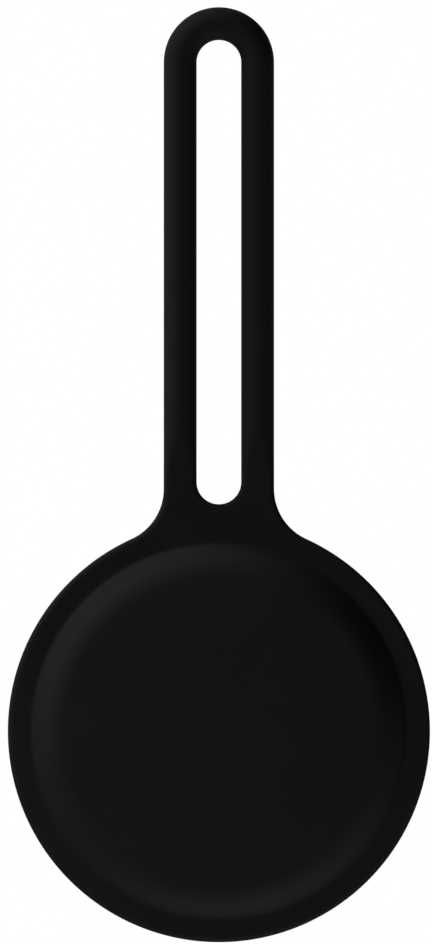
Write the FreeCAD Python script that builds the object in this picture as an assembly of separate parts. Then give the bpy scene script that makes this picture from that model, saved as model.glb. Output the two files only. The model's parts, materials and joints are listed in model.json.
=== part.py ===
# Soft loop holder for a round tracker tag, with the tag that it carries.
# Millimetres. X is to the right, +Y runs from the domed rear face to the window, +Z is up.
# The origin is the highest point inside the loop, where the holder hangs from a ring or a strap.
import FreeCAD, Part
import math
import os

Vector = FreeCAD.Vector

# Holder: disc, flange and dome
FLANGE_WIDTH = 2.17
FLANGE_THICKNESS = 2.4
FLANGE_EDGE_RADIUS = 0.5
SIDE_WALL = 1.28
CROWN_WALL = 1.0
DOME_SHOULDER = 2.4
DOME_DRAFT_DEG = 28.0
POCKET_CLEARANCE = 0.1

# Holder: loop and neck
STRAND_DIAMETER = 3.05
SLOT_WIDTH = 4.1
SLOT_LENGTH = 42.9
SLOT_TO_DISC_EDGE = 1.45
NECK_FILLET = 5.1
NECK_ABOVE_DOME = 0.9
STUB_HEIGHT = 1.0
STUB_BLEND = 4.0

# Holder: window on the front
WINDOW_MARGIN = 0.15
WINDOW_EDGE_RADIUS = 0.25
FACE_RECESS = 0.4
LIP_SHOULDER = 2.8

# Tag: outer shape and shell
TAG_CROWN_RADIUS = 240.0
TAG_REAR_SHOULDER = 3.0
TAG_FRONT_SHOULDER = 2.3
SHELL_WALL = 0.9
RIM_WIDTH = 0.7

# Tag: steel battery cover, its lock ring and its seal
COVER_CLEARANCE = 0.2
COVER_SHEET = 0.3
COVER_RISE = 0.35
COVER_PROUD = 0.5
COVER_EDGE_RADIUS = 0.4
SKIRT_DEPTH = 1.2
LOCK_RING_WALL = 1.15
LOCK_RING_ABOVE_SKIRT_END = 0.8
LOCK_RUNNING_GAP = 0.1
LUG_COUNT = 3
LUG_REACH = 0.85
LUG_THICKNESS = 0.5
LUG_CLEARANCE = 0.05
LUG_WIDTH_DEG = 26.0
LUG_SLOT_PLAY_DEG = 3.0
COVER_TWIST_DEG = 30.0
SEAL_HEIGHT = 0.4
SEAL_GAP = 0.02
LEDGE_THICKNESS = 0.4

# Tag: battery bay and coin cell
CELL_DIAMETER = 20.0
CELL_HEIGHT = 3.2
CELL_SHEET = 0.25
CELL_GASKET = 0.35
CELL_CRIMP = 0.35
CELL_CAP_GAP = 0.3
CELL_TOP_GAP = 0.1
BAY_GAP = 0.55
BAY_WALL = 0.6
BAY_WALL_BELOW_CELL_FACE = 0.45
LOCK_RING_TO_BAY = 0.15
FLOOR_THICKNESS = 0.45
CONTACT_SPACE = 0.45
FRAME_WALL_GAP = 0.2

# Tag: battery contacts
POSITIVE_SHEET = 0.25
POSITIVE_WIDTH = 3.0
POSITIVE_DIMPLE_DIAMETER = 1.2
POSITIVE_TO_CELL = 0.05
POSITIVE_BELOW_BAY_WALL = 0.6
POSITIVE_ANGLES_DEG = (0.0, 180.0)
NEGATIVE_SHEET = 0.15
NEGATIVE_WIDTH = 2.4
NEGATIVE_LEG = 0.25
NEGATIVE_FOOT = 2.5
NEGATIVE_PAD = 1.6
NEGATIVE_TAIL = 2.0
NEGATIVE_TO_CELL = 0.02
NEGATIVE_LEG_ANGLE_DEG = 90.0
CONTACT_SLOT_PLAY = 0.1

# Tag: circuit board and what is soldered to it
BOARD_THICKNESS = 0.8
COMPONENT_SPACE = 1.585
BOARD_TO_POT = 0.3
BOARD_TO_SHELL = 1.0
BOARD_NOTCH_DIAMETER = 1.6
BOARD_NOTCH_ANGLES_DEG = (20.0, 200.0)
RADIO_CHIP_SIDE = 3.8
RADIO_CHIP_HEIGHT = 0.8
RADIO_CHIP_ANGLE_DEG = 45.0
RANGING_MODULE_WIDTH = 3.6
RANGING_MODULE_LENGTH = 5.2
RANGING_MODULE_HEIGHT = 0.9
RANGING_MODULE_ANGLE_DEG = 160.0
MEMORY_CHIP_SIDE = 3.0
MEMORY_CHIP_HEIGHT = 0.7
MEMORY_CHIP_ANGLE_DEG = 250.0
MOTION_SENSOR_SIDE = 2.0
MOTION_SENSOR_HEIGHT = 0.8
MOTION_SENSOR_ANGLE_DEG = 300.0
CRYSTAL_LENGTH = 2.0
CRYSTAL_WIDTH = 1.6
CRYSTAL_HEIGHT = 0.5
CRYSTAL_ANGLES_DEG = (95.0, 212.0)
PASSIVE_LENGTH = 1.0
PASSIVE_WIDTH = 0.5
PASSIVE_HEIGHT = 0.5
PASSIVE_ROW_SHARE = 0.35
PASSIVE_ANGLES_DEG = (0.0, 15.0, 72.0, 115.0, 197.0, 228.0, 275.0, 322.0, 335.0, 347.0)

# Tag: antennas and sounder
ANTENNA_WIDTH = 1.5
ANTENNA_HEIGHT = 1.05
ANTENNA_TO_BOARD_EDGE = 0.7
ANTENNA_STRIP_SHEET = 0.1
ANTENNA_STRIP_MARGIN = 0.25
ANTENNA_STRIP_COUNT = 3
ANTENNA_STRIP_DEG = 84.0
POT_SHEET = 0.4
POT_HEIGHT = 1.6
MAGNET_DIAMETER = 7.2
MAGNET_HEIGHT = 0.8
POLE_PLATE_OVERHANG = 0.1
POLE_PLATE_HEIGHT = 0.3
COIL_WIRE_BUILD = 0.6
COIL_GAP = 0.25
COIL_TO_POT = 0.35
COIL_HEIGHT = 1.4

# How far a cutting tool runs past what it cuts
OVERRUN = 5.0


def crown_drop(radius, crown_radius):
    """How far a crowned face has fallen from its apex at this radius."""
    return crown_radius - math.sqrt(crown_radius ** 2 - radius ** 2)


# Radii of the tag, from the coin cell outwards
cell_radius = CELL_DIAMETER / 2
bay_radius = cell_radius + BAY_GAP
bay_outside_radius = bay_radius + BAY_WALL
leaf_outside = math.sqrt(bay_radius ** 2 - (POSITIVE_WIDTH / 2) ** 2)
leaf_inside = leaf_outside - POSITIVE_SHEET
lock_inside_radius = bay_outside_radius + LOCK_RING_TO_BAY
skirt_inside_radius = lock_inside_radius + LOCK_RING_WALL
lug_radius = skirt_inside_radius + LUG_REACH
ledge_radius = skirt_inside_radius + LOCK_RUNNING_GAP
cover_radius = skirt_inside_radius + COVER_SHEET
cover_crown_radius = (cover_radius ** 2 + COVER_RISE ** 2) / (2 * COVER_RISE)
cover_opening_radius = cover_radius + COVER_CLEARANCE
tag_radius = cover_opening_radius + RIM_WIDTH + TAG_FRONT_SHOULDER
shell_inside_radius = tag_radius - SHELL_WALL

# Radii inside the tag, from the sounder's magnet outwards to the board's edge
magnet_radius = MAGNET_DIAMETER / 2
pole_plate_radius = magnet_radius + POLE_PLATE_OVERHANG
coil_inside_radius = pole_plate_radius + COIL_GAP
coil_outside_radius = coil_inside_radius + COIL_WIRE_BUILD
pot_inside_radius = coil_outside_radius + COIL_TO_POT
pot_radius = pot_inside_radius + POT_SHEET
board_radius = shell_inside_radius - BOARD_TO_SHELL
board_hole_radius = pot_radius + BOARD_TO_POT
antenna_outside_radius = board_radius - ANTENNA_TO_BOARD_EDGE
antenna_inside_radius = antenna_outside_radius - ANTENNA_WIDTH
chip_band = antenna_inside_radius - board_hole_radius
chip_row_radius = (board_hole_radius + antenna_inside_radius) / 2

# Depths of the tag, from the cover inwards, with the middle of its thickness at zero
cover_stack = crown_drop(cell_radius, cover_crown_radius) + COVER_SHEET + CELL_TOP_GAP
bay_stack = CELL_HEIGHT + CONTACT_SPACE + FLOOR_THICKNESS
tag_thickness = cover_stack + bay_stack + BOARD_THICKNESS + COMPONENT_SPACE + SHELL_WALL
tag_front_y = tag_thickness / 2
tag_rear_y = -tag_thickness / 2
tag_rim_y = tag_front_y - COVER_PROUD
skirt_end_y = tag_rim_y - SKIRT_DEPTH
ledge_top_y = skirt_end_y - SEAL_HEIGHT
ledge_bottom_y = ledge_top_y - LEDGE_THICKNESS
lug_top_y = ledge_bottom_y - LUG_CLEARANCE
lug_bottom_y = lug_top_y - LUG_THICKNESS
cell_front_y = tag_front_y - cover_stack
cell_rear_y = cell_front_y - CELL_HEIGHT
bay_top_y = cell_front_y - BAY_WALL_BELOW_CELL_FACE
floor_top_y = cell_rear_y - CONTACT_SPACE
floor_bottom_y = floor_top_y - FLOOR_THICKNESS
board_bottom_y = floor_bottom_y - BOARD_THICKNESS
antenna_bottom_y = board_bottom_y - ANTENNA_HEIGHT
magnet_top_y = floor_bottom_y - POT_SHEET
magnet_bottom_y = magnet_top_y - MAGNET_HEIGHT
shell_crown_y = tag_rear_y + SHELL_WALL

# Holder round the tag
flange_half = FLANGE_THICKNESS / 2
pocket_radius = tag_radius + POCKET_CLEARANCE
dome_radius = pocket_radius + SIDE_WALL
disc_radius = dome_radius + FLANGE_WIDTH
window_radius = cover_opening_radius + WINDOW_MARGIN
dome_y = tag_rear_y - POCKET_CLEARANCE - CROWN_WALL
holder_front_y = tag_front_y + FACE_RECESS
lip_inside_y = tag_rim_y + POCKET_CLEARANCE

# Outline of the loop and the neck, from the top of the slot down
slot_radius = SLOT_WIDTH / 2
strand_radius = STRAND_DIAMETER / 2
strand_x = slot_radius + strand_radius
loop_half_width = slot_radius + STRAND_DIAMETER
loop_centre_z = -slot_radius
slot_bottom_z = -SLOT_LENGTH
slot_root_z = slot_bottom_z + slot_radius
stub_top_z = slot_root_z + STUB_HEIGHT
loop_end_z = stub_top_z + STUB_BLEND
disc_z = slot_bottom_z - SLOT_TO_DISC_EDGE - disc_radius
neck_bottom_z = disc_z + dome_radius + NECK_ABOVE_DOME
disc_centre = Vector(0, 0, disc_z)


def line(start, end):
    return Part.LineSegment(start, end).toShape()


def arc(start, end, centre):
    """The shorter arc from start to end about centre."""
    towards = (start - centre) + (end - centre)
    middle = centre + towards.normalize() * (start - centre).Length
    return Part.Arc(start, middle, end).toShape()


def at(radius, depth):
    """A point of a turned profile: distance from the tag's axis, and depth along Y."""
    return Vector(radius, depth, 0)


def turned(edges, start_deg=0.0, sweep_deg=360.0):
    """Turns a closed profile about the tag's axis and sets it at the disc's centre."""
    face = Part.Face(Part.Wire(edges))
    face.rotate(Vector(0, 0, 0), Vector(0, 1, 0), start_deg)
    solid = face.revolve(Vector(0, 0, 0), Vector(0, 1, 0), sweep_deg)
    solid.translate(disc_centre)
    return solid


def polygon(points):
    return [line(a, b) for a, b in zip(points, points[1:] + points[:1])]


def tube(inside, outside, low_y, high_y, start_deg=0.0, sweep_deg=360.0):
    """A ring, or a sector of one, with square edges."""
    corners = [at(inside, low_y), at(outside, low_y), at(outside, high_y), at(inside, high_y)]
    return turned(polygon(corners), start_deg, sweep_deg)


def sector(inside, outside, low_y, high_y, middle_deg, width_deg):
    return tube(inside, outside, low_y, high_y, middle_deg - width_deg / 2, width_deg)


def block(radius, angle_deg, radial, tangential, low_y, high_y):
    """A box whose middle is at this radius and angle round the tag's axis."""
    box = Part.makeBox(radial, high_y - low_y, tangential)
    box.translate(Vector(radius - radial / 2, low_y, -tangential / 2))
    box.rotate(Vector(0, 0, 0), Vector(0, 1, 0), angle_deg)
    box.translate(disc_centre)
    return box


def dome_edges(radius, start_y, apex_y, crown_radius, shoulder, draft_deg=0.0):
    """Profile of a dome that opens towards +Y: side wall, round shoulder, then a faint crown to the axis.

    The side wall leans in towards the crown by the draft, and the shoulder is tangent to wall and crown.
    """
    draft = math.radians(draft_deg)
    outward = Vector(math.cos(draft), -math.sin(draft), 0)
    rearward = Vector(-math.sin(draft), -math.cos(draft), 0)
    mouth = at(radius, start_y)
    crown_centre = at(0, apex_y + crown_radius)
    beside = (mouth - crown_centre).dot(outward) - shoulder
    reach = math.sqrt((crown_radius - shoulder) ** 2 - beside ** 2)
    shoulder_centre = crown_centre + outward * beside + rearward * reach
    side_end = shoulder_centre + outward * shoulder
    crown_start = crown_centre + (shoulder_centre - crown_centre).normalize() * crown_radius
    apex = at(0, apex_y)
    return [
        line(mouth, side_end),
        arc(side_end, crown_start, shoulder_centre),
        arc(crown_start, apex, crown_centre),
    ]


def closed_to_axis(edges, start_y, apex_y):
    """Closes a dome's profile across its mouth and down the axis."""
    mouth = edges[0].Vertexes[0].Point
    return edges + [line(at(0, apex_y), at(0, start_y)), line(at(0, start_y), mouth)]


def below(z):
    """Everything from this height down, as a cutting block."""
    size = 4 * (disc_radius + SLOT_LENGTH)
    cut = Part.makeBox(size, size, size)
    cut.translate(Vector(-size / 2, -size / 2, z - size))
    return cut


def plate():
    """Flange and neck as one flat plate with rounded edges, up to the stubs of the two strands."""
    rise = math.sqrt((disc_radius + NECK_FILLET) ** 2 - (loop_half_width + NECK_FILLET) ** 2)
    fillet_z = disc_z + rise
    side = []
    for sign in (-1, 1):
        centre = Vector(sign * (loop_half_width + NECK_FILLET), 0, fillet_z)
        towards = (centre - disc_centre).normalize()
        side.append({
            "centre": centre,
            "disc": disc_centre + towards * disc_radius,
            "strand": Vector(sign * loop_half_width, 0, fillet_z),
            "top": Vector(sign * loop_half_width, 0, stub_top_z),
            "slot_top": Vector(sign * slot_radius, 0, stub_top_z),
            "slot_root": Vector(sign * slot_radius, 0, slot_root_z),
        })
    left, right = side
    disc_bottom = disc_centre - Vector(0, 0, disc_radius)
    slot_bottom = Vector(0, 0, slot_bottom_z)
    outline = Part.Wire([
        Part.Arc(right["disc"], disc_bottom, left["disc"]).toShape(),
        arc(left["disc"], left["strand"], left["centre"]),
        line(left["strand"], left["top"]),
        line(left["top"], left["slot_top"]),
        line(left["slot_top"], left["slot_root"]),
        Part.Arc(left["slot_root"], slot_bottom, right["slot_root"]).toShape(),
        line(right["slot_root"], right["slot_top"]),
        line(right["slot_top"], right["top"]),
        line(right["top"], right["strand"]),
        arc(right["strand"], right["disc"], right["centre"]),
    ])
    face = Part.Face(outline)
    face.translate(Vector(0, -flange_half, 0))
    solid = face.extrude(Vector(0, FLANGE_THICKNESS, 0))
    tolerance = FLANGE_EDGE_RADIUS / 100
    rims = []
    for edge in solid.Edges:
        box = edge.BoundBox
        on_a_face = box.YLength < tolerance
        on_a_stub_end = box.ZMin > stub_top_z - tolerance
        if on_a_face and not on_a_stub_end:
            rims.append(edge)
    return solid.makeFillet(FLANGE_EDGE_RADIUS, rims)


def holder_cup(flange_and_neck):
    """Flange with the closed dome that the tag lies in. The pocket runs straight out to the front."""
    crown_radius = TAG_CROWN_RADIUS + POCKET_CLEARANCE
    root_radius = dome_radius + flange_half * math.tan(math.radians(DOME_DRAFT_DEG))
    outside = dome_edges(root_radius, 0, dome_y, crown_radius + CROWN_WALL, DOME_SHOULDER, DOME_DRAFT_DEG)
    dome = turned(closed_to_axis(outside, 0, dome_y))
    pocket_y = tag_rear_y - POCKET_CLEARANCE
    mouth_y = flange_half + OVERRUN
    inside = dome_edges(pocket_radius, mouth_y, pocket_y, crown_radius, TAG_REAR_SHOULDER + POCKET_CLEARANCE)
    pocket = turned(closed_to_axis(inside, mouth_y, pocket_y))
    flange = flange_and_neck.common(below(neck_bottom_z))
    return flange.fuse(dome).cut(pocket).removeSplitter()


def rounded_section(half_x, half_y, radius, centre_x, z):
    """A rounded rectangle as four corner arcs and four sides, counted from the corner in +X and +Y."""
    corners = ((1, 1), (-1, 1), (-1, -1), (1, -1))
    ends = []
    for sx, sy in corners:
        centre = Vector(centre_x + sx * (half_x - radius), sy * (half_y - radius), z)
        on_x = centre + Vector(sx * radius, 0, 0)
        on_y = centre + Vector(0, sy * radius, 0)
        ends.append((centre, on_x, on_y) if sx * sy > 0 else (centre, on_y, on_x))
    edges = []
    for index, (centre, first, last) in enumerate(ends):
        edges.append(arc(first, last, centre))
        edges.append(line(last, ends[(index + 1) % len(ends)][1]))
    return Part.Wire(edges)


def round_section(radius, centre_x, z, flat_share):
    """A circle in eight arcs, paired with the corners and the sides of a rounded rectangle."""
    centre = Vector(centre_x, 0, z)
    narrow = math.pi / 2 * flat_share
    edges = []
    angle = narrow / 2
    for _ in range(4):
        for width in (math.pi / 2 - narrow, narrow):
            ends = [
                centre + Vector(radius * math.cos(a), radius * math.sin(a), 0)
                for a in (angle, angle + width)
            ]
            edges.append(arc(ends[0], ends[1], centre))
            angle += width
    return Part.Wire(edges)


def neck(flange_and_neck):
    """The soft web between disc and loop. It is the length that bends."""
    web = flange_and_neck.cut(below(neck_bottom_z))
    flat_share = 0.5
    for x in (-strand_x, strand_x):
        low = rounded_section(strand_radius, flange_half, FLANGE_EDGE_RADIUS, x, stub_top_z)
        high = round_section(strand_radius, x, loop_end_z, flat_share)
        web = web.fuse(Part.makeLoft([low, high], True, True))
    return web


def strap_loop():
    """Two round strands joined by a half ring at the top."""
    up = Vector(0, 0, 1)
    length = loop_centre_z - loop_end_z
    circle = Part.Circle(Vector(strand_x, 0, loop_centre_z), up, strand_radius).toShape()
    bow = Part.Face(Part.Wire(circle)).revolve(Vector(0, 0, loop_centre_z), Vector(0, -1, 0), 180)
    loop = bow
    for x in (-strand_x, strand_x):
        strand = Part.makeCylinder(strand_radius, length, Vector(x, 0, loop_end_z), up)
        loop = loop.fuse(strand)
    return loop.removeSplitter()


def window_lip():
    """Soft raised ring on the front. It stretches to let the tag past, then folds over the tag's rim."""
    shoulder_y = holder_front_y - LIP_SHOULDER
    flat_radius = dome_radius - LIP_SHOULDER
    edge_y = holder_front_y - WINDOW_EDGE_RADIUS
    edge_radius = window_radius + WINDOW_EDGE_RADIUS
    ring = turned([
        line(at(window_radius, flange_half), at(dome_radius, flange_half)),
        line(at(dome_radius, flange_half), at(dome_radius, shoulder_y)),
        arc(at(dome_radius, shoulder_y), at(flat_radius, holder_front_y), at(flat_radius, shoulder_y)),
        line(at(flat_radius, holder_front_y), at(edge_radius, holder_front_y)),
        arc(at(edge_radius, holder_front_y), at(window_radius, edge_y), at(edge_radius, edge_y)),
        line(at(window_radius, edge_y), at(window_radius, flange_half)),
    ])
    inside_shoulder = TAG_FRONT_SHOULDER + POCKET_CLEARANCE
    inside_radius = pocket_radius - inside_shoulder
    inside_y = lip_inside_y - inside_shoulder
    mouth_y = inside_y - OVERRUN
    pocket = turned([
        line(at(0, mouth_y), at(pocket_radius, mouth_y)),
        line(at(pocket_radius, mouth_y), at(pocket_radius, inside_y)),
        arc(at(pocket_radius, inside_y), at(inside_radius, lip_inside_y), at(inside_radius, inside_y)),
        line(at(inside_radius, lip_inside_y), at(0, lip_inside_y)),
        line(at(0, lip_inside_y), at(0, mouth_y)),
    ])
    return ring.cut(pocket)


def tag_cavity():
    """The room inside the shell."""
    front_y = tag_rim_y - TAG_FRONT_SHOULDER
    rim_radius = tag_radius - TAG_FRONT_SHOULDER
    rim_inside_y = tag_rim_y - SHELL_WALL
    rear_shoulder = TAG_REAR_SHOULDER - SHELL_WALL
    floor_radius = shell_inside_radius - rear_shoulder
    rear_y = shell_crown_y + rear_shoulder
    return turned([
        line(at(0, shell_crown_y), at(floor_radius, shell_crown_y)),
        arc(at(floor_radius, shell_crown_y), at(shell_inside_radius, rear_y), at(floor_radius, rear_y)),
        line(at(shell_inside_radius, rear_y), at(shell_inside_radius, front_y)),
        arc(at(shell_inside_radius, front_y), at(rim_radius, rim_inside_y), at(rim_radius, front_y)),
        line(at(rim_radius, rim_inside_y), at(0, rim_inside_y)),
        line(at(0, rim_inside_y), at(0, shell_crown_y)),
    ])


def tag_shell():
    """Moulded shell of the tag: a closed dome at the rear, and a rim round the battery cover."""
    front_y = tag_rim_y - TAG_FRONT_SHOULDER
    rim_radius = tag_radius - TAG_FRONT_SHOULDER
    outside = turned([
        line(at(0, tag_rim_y), at(rim_radius, tag_rim_y)),
        arc(at(rim_radius, tag_rim_y), at(tag_radius, front_y), at(rim_radius, front_y)),
        *dome_edges(tag_radius, front_y, tag_rear_y, TAG_CROWN_RADIUS, TAG_REAR_SHOULDER),
        line(at(0, tag_rear_y), at(0, tag_rim_y)),
    ])
    opening = tube(0, cover_opening_radius, 0, tag_rim_y + OVERRUN)
    return outside.cut(tag_cavity()).cut(opening)


def battery_cover():
    """Pressed steel cover, faintly crowned, with a short skirt."""
    bend_radius = cover_radius - COVER_EDGE_RADIUS
    bend_y = tag_front_y - crown_drop(bend_radius, cover_crown_radius)
    side_y = bend_y - COVER_EDGE_RADIUS
    crown_centre = at(0, tag_front_y - cover_crown_radius)
    inside_y = tag_front_y - COVER_SHEET
    inner_bend = at(bend_radius, bend_y - COVER_SHEET)
    inner_centre = inner_bend - Vector(0, COVER_EDGE_RADIUS - COVER_SHEET, 0)
    inner_side = at(skirt_inside_radius, inner_centre.y)
    return turned([
        arc(at(0, tag_front_y), at(bend_radius, bend_y), crown_centre),
        arc(at(bend_radius, bend_y), at(cover_radius, side_y), at(bend_radius, side_y)),
        line(at(cover_radius, side_y), at(cover_radius, skirt_end_y)),
        line(at(cover_radius, skirt_end_y), at(skirt_inside_radius, skirt_end_y)),
        line(at(skirt_inside_radius, skirt_end_y), inner_side),
        arc(inner_side, inner_bend, inner_centre),
        arc(inner_bend, at(0, inside_y), crown_centre - Vector(0, COVER_SHEET, 0)),
        line(at(0, inside_y), at(0, tag_front_y)),
    ])


def cover_lock_ring():
    """Plastic ring bonded inside the cover's skirt, with the lugs that lock under the frame's ledge."""
    ring_top_y = skirt_end_y + LOCK_RING_ABOVE_SKIRT_END
    ring = tube(lock_inside_radius, skirt_inside_radius, lug_bottom_y, ring_top_y)
    for index in range(LUG_COUNT):
        angle = 360.0 / LUG_COUNT * index
        lug = sector(lock_inside_radius, lug_radius, lug_bottom_y, lug_top_y, angle, LUG_WIDTH_DEG)
        ring = ring.fuse(lug)
    return ring.removeSplitter()


def cover_seal():
    """Flat elastomer ring that the cover's skirt presses on the frame's ledge."""
    return tube(ledge_radius, cover_radius, ledge_top_y, skirt_end_y - SEAL_GAP)


def battery_frame():
    """Inner frame: the cell's bay, and round it a channel whose slotted ledge holds the cover's lugs."""
    channel_radius = lug_radius + FRAME_WALL_GAP
    frame = tube(0, shell_inside_radius, floor_bottom_y, floor_top_y)
    frame = frame.fuse(tube(bay_radius, bay_outside_radius, floor_top_y, bay_top_y))
    frame = frame.fuse(tube(channel_radius, shell_inside_radius, floor_top_y, ledge_top_y))
    ledge = tube(ledge_radius, channel_radius, ledge_bottom_y, ledge_top_y)
    slot_deg = LUG_WIDTH_DEG + 2 * LUG_SLOT_PLAY_DEG
    for index in range(LUG_COUNT):
        angle = 360.0 / LUG_COUNT * index + COVER_TWIST_DEG
        slot = sector(0, channel_radius, lug_top_y, ledge_top_y + OVERRUN, angle, slot_deg)
        ledge = ledge.cut(slot)
    frame = frame.fuse(ledge)
    for angle in POSITIVE_ANGLES_DEG:
        radial = POSITIVE_SHEET + 2 * CONTACT_SLOT_PLAY
        tangential = POSITIVE_WIDTH + 2 * CONTACT_SLOT_PLAY
        middle = (leaf_inside + leaf_outside) / 2
        frame = frame.cut(block(middle, angle, radial, tangential, floor_bottom_y - OVERRUN, floor_top_y))
    leg = negative_leg(CONTACT_SLOT_PLAY, floor_bottom_y - OVERRUN, floor_top_y)
    return frame.cut(leg).common(tag_cavity()).removeSplitter()


def cell_can():
    inside = cell_radius - CELL_SHEET
    side = tube(inside, cell_radius, cell_rear_y + CELL_CRIMP, cell_front_y)
    return side.fuse(tube(0, cell_radius, cell_front_y - CELL_SHEET, cell_front_y)).removeSplitter()


def cell_gasket():
    outside = cell_radius - CELL_SHEET
    return tube(outside - CELL_GASKET, outside, cell_rear_y + CELL_CRIMP, cell_front_y - CELL_SHEET)


def cell_cap():
    outside = cell_radius - CELL_SHEET - CELL_GASKET
    top_y = cell_front_y - CELL_SHEET - CELL_CAP_GAP
    side = tube(outside - CELL_SHEET, outside, cell_rear_y, top_y)
    return side.fuse(tube(0, outside, cell_rear_y, cell_rear_y + CELL_SHEET)).removeSplitter()


def cell_electrodes():
    radius = cell_radius - 2 * CELL_SHEET - CELL_GASKET
    return tube(0, radius, cell_rear_y + CELL_SHEET, cell_front_y - CELL_SHEET)


def positive_contacts():
    """Two upright leaves against the bay's wall, soldered to the board through slots in the floor."""
    top_y = bay_top_y - POSITIVE_BELOW_BAY_WALL
    leaves = []
    for angle in POSITIVE_ANGLES_DEG:
        middle = (leaf_inside + leaf_outside) / 2
        leaf = block(middle, angle, POSITIVE_SHEET, POSITIVE_WIDTH, floor_bottom_y, top_y)
        dimple = Part.makeCylinder(
            POSITIVE_DIMPLE_DIAMETER / 2,
            leaf_inside - cell_radius - POSITIVE_TO_CELL,
            Vector(leaf_inside, (cell_rear_y + cell_front_y) / 2, 0),
            Vector(-1, 0, 0),
        )
        dimple.rotate(Vector(0, 0, 0), Vector(0, 1, 0), angle)
        dimple.translate(disc_centre)
        leaves.append(leaf.fuse(dimple).removeSplitter())
    return Part.makeCompound(leaves)


def negative_leg(play, low_y, high_y):
    """The leg of the negative leaf, or with play round it the slot that the leg goes through."""
    middle = board_hole_radius + NEGATIVE_LEG
    radial = NEGATIVE_LEG + 2 * play
    tangential = NEGATIVE_WIDTH + 2 * play
    return block(middle, NEGATIVE_LEG_ANGLE_DEG, radial, tangential, low_y, high_y)


def negative_contact():
    """Leaf spring on the bay's floor: foot, ramp, pad under the cell's cap, and a falling tail."""
    pad_y = cell_rear_y - NEGATIVE_TO_CELL - NEGATIVE_SHEET
    tail_y = (pad_y + floor_top_y) / 2
    leg_outside = board_hole_radius + 1.5 * NEGATIVE_LEG
    run = [
        (-leg_outside, floor_top_y),
        (-leg_outside + NEGATIVE_FOOT, floor_top_y),
        (-NEGATIVE_PAD / 2, pad_y),
        (NEGATIVE_PAD / 2, pad_y),
        (NEGATIVE_PAD / 2 + NEGATIVE_TAIL, tail_y),
    ]
    under = [Vector(-NEGATIVE_WIDTH / 2, y, z) for z, y in run]
    over = [point + Vector(0, NEGATIVE_SHEET, 0) for point in reversed(under)]
    strip = Part.Face(Part.Wire(polygon(under + over))).extrude(Vector(NEGATIVE_WIDTH, 0, 0))
    strip.translate(disc_centre)
    return strip.fuse(negative_leg(0, floor_bottom_y, floor_top_y)).removeSplitter()


def circuit_board():
    board = tube(board_hole_radius, board_radius, board_bottom_y, floor_bottom_y)
    for angle in BOARD_NOTCH_ANGLES_DEG:
        notch = Part.makeCylinder(
            BOARD_NOTCH_DIAMETER / 2,
            BOARD_THICKNESS + 2 * OVERRUN,
            Vector(board_radius, board_bottom_y - OVERRUN, 0),
            Vector(0, 1, 0),
        )
        notch.rotate(Vector(0, 0, 0), Vector(0, 1, 0), angle)
        notch.translate(disc_centre)
        board = board.cut(notch)
    return board


def on_board(radial, tangential, height, angle_deg, radius=chip_row_radius):
    """A component soldered to the board's rear face."""
    return block(radius, angle_deg, radial, tangential, board_bottom_y - height, board_bottom_y)


def radio_chip():
    return on_board(RADIO_CHIP_SIDE, RADIO_CHIP_SIDE, RADIO_CHIP_HEIGHT, RADIO_CHIP_ANGLE_DEG)


def ranging_module():
    size = (RANGING_MODULE_WIDTH, RANGING_MODULE_LENGTH, RANGING_MODULE_HEIGHT)
    return on_board(*size, RANGING_MODULE_ANGLE_DEG)


def memory_chip():
    return on_board(MEMORY_CHIP_SIDE, MEMORY_CHIP_SIDE, MEMORY_CHIP_HEIGHT, MEMORY_CHIP_ANGLE_DEG)


def motion_sensor():
    size = (MOTION_SENSOR_SIDE, MOTION_SENSOR_SIDE, MOTION_SENSOR_HEIGHT)
    return on_board(*size, MOTION_SENSOR_ANGLE_DEG)


def board_crystals():
    size = (CRYSTAL_LENGTH, CRYSTAL_WIDTH, CRYSTAL_HEIGHT)
    return Part.makeCompound([on_board(*size, angle) for angle in CRYSTAL_ANGLES_DEG])


def board_passives():
    """Small capacitors and resistors in an inner and an outer row."""
    offset = chip_band * PASSIVE_ROW_SHARE / 2
    pieces = []
    for angle in PASSIVE_ANGLES_DEG:
        for row in (chip_row_radius - offset, chip_row_radius + offset):
            pieces.append(on_board(PASSIVE_LENGTH, PASSIVE_WIDTH, PASSIVE_HEIGHT, angle, row))
    return Part.makeCompound(pieces)


def antenna_carrier():
    return tube(antenna_inside_radius, antenna_outside_radius, antenna_bottom_y, board_bottom_y)


def antenna_strips():
    inside = antenna_inside_radius + ANTENNA_STRIP_MARGIN
    outside = antenna_outside_radius - ANTENNA_STRIP_MARGIN
    low_y = antenna_bottom_y - ANTENNA_STRIP_SHEET
    strips = []
    for index in range(ANTENNA_STRIP_COUNT):
        angle = 360.0 / ANTENNA_STRIP_COUNT * index
        strips.append(sector(inside, outside, low_y, antenna_bottom_y, angle, ANTENNA_STRIP_DEG))
    return Part.makeCompound(strips)


def sounder_pot():
    """Steel pot under the bay's floor that carries the magnet and closes its field round the coil."""
    base = tube(0, pot_radius, magnet_top_y, floor_bottom_y)
    side = tube(pot_inside_radius, pot_radius, floor_bottom_y - POT_HEIGHT, floor_bottom_y)
    return base.fuse(side).removeSplitter()


def sounder_magnet():
    return tube(0, magnet_radius, magnet_bottom_y, magnet_top_y)


def sounder_pole_plate():
    return tube(0, pole_plate_radius, magnet_bottom_y - POLE_PLATE_HEIGHT, magnet_bottom_y)


def sounder_coil():
    """Ring of wound wire bonded to the shell, which it drives as a diaphragm."""
    return tube(coil_inside_radius, coil_outside_radius, shell_crown_y, shell_crown_y + COIL_HEIGHT)


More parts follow.
